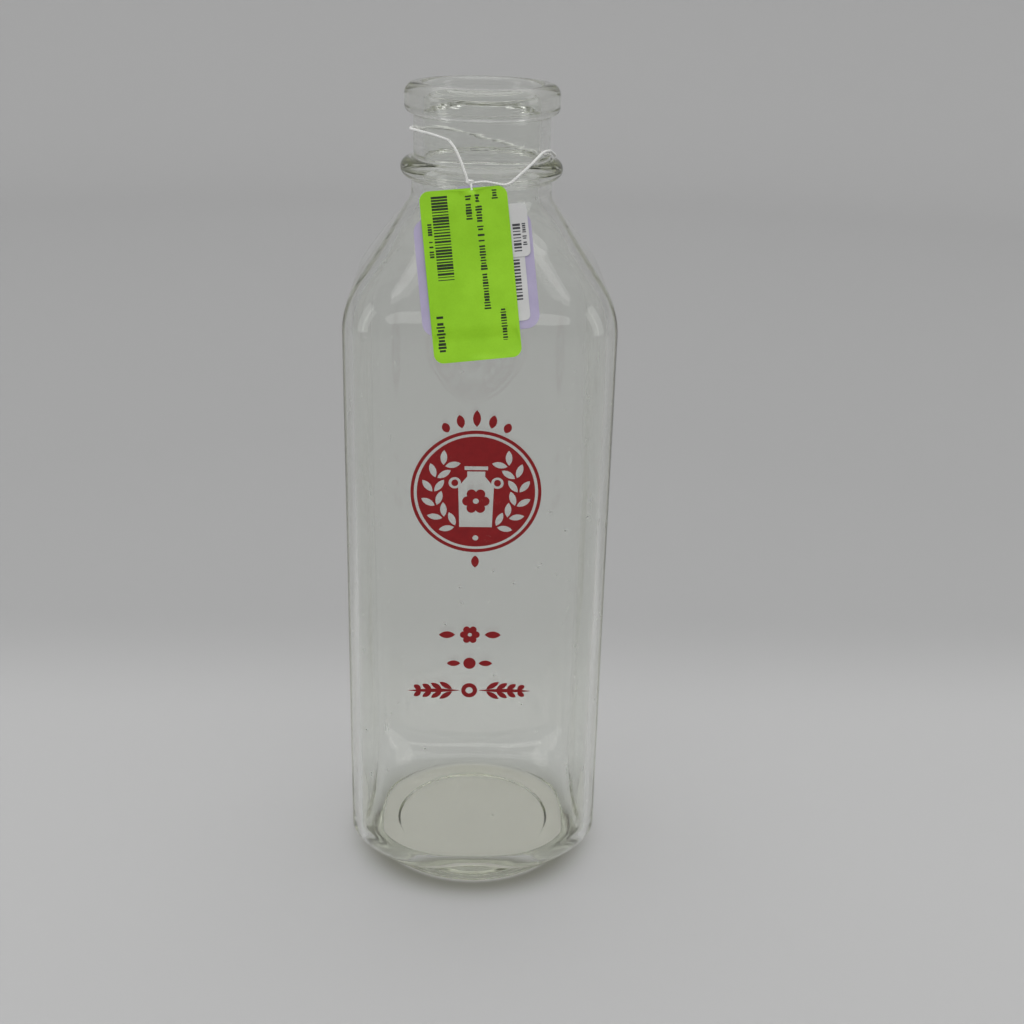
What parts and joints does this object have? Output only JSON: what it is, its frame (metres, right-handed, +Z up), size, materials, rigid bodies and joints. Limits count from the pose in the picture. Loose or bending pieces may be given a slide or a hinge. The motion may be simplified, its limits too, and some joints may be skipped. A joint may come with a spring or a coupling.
{
  "type": "glass milk bottle",
  "caption": "Square clear glass milk bottle with a round neck, red fired enamel decoration and a strung card price tag.",
  "frame": {"origin": "centre of the foot, on the surface that the bottle stands on", "axes": "+Z up along the bottle's axis, -Y out of the decorated panel, +X to the right as that panel is faced"},
  "size_m": [0.0828, 0.0875, 0.2625],
  "materials": {
    "glass": "clear, smooth, faint grey-green",
    "red_enamel": "fired, satin",
    "cotton_string": "twisted thread",
    "lavender_card": "matt",
    "white_paper": "matt, printed",
    "green_paper": "satin, printed"
  },
  "bodies": {
    "bottle": {"bottle": "glass", "enamel_emblem": "red_enamel", "enamel_ornament": "red_enamel"},
    "neck_loop": {"string_loop": "cotton_string"},
    "hanging_legs": {"string_legs": "cotton_string", "string_knot": "cotton_string"},
    "tag": {"string_hitch": "cotton_string", "tag_card": "lavender_card", "white_label_lower": "white_paper", "white_label_upper": "white_paper", "price_label": "green_paper"}
  },
  "joints": [
    {"name": "loop_slide", "type": "slide", "parent": "bottle", "child": "neck_loop", "axis": [0, 0, 1], "range_m": [0, 0.0035]},
    {"name": "string_lift", "type": "hinge", "parent": "neck_loop", "child": "hanging_legs", "pos_m": [-0.00965, -0.0195, 0.2479], "axis": [-0.9323, -0.3408, 0.1214], "range_deg": [0, 50]},
    {"name": "tag_flip", "type": "hinge", "parent": "hanging_legs", "child": "tag", "pos_m": [-0.0036, -0.02622, 0.23714], "axis": [-1, 0, 0], "range_deg": [0, 120]}
  ]
}
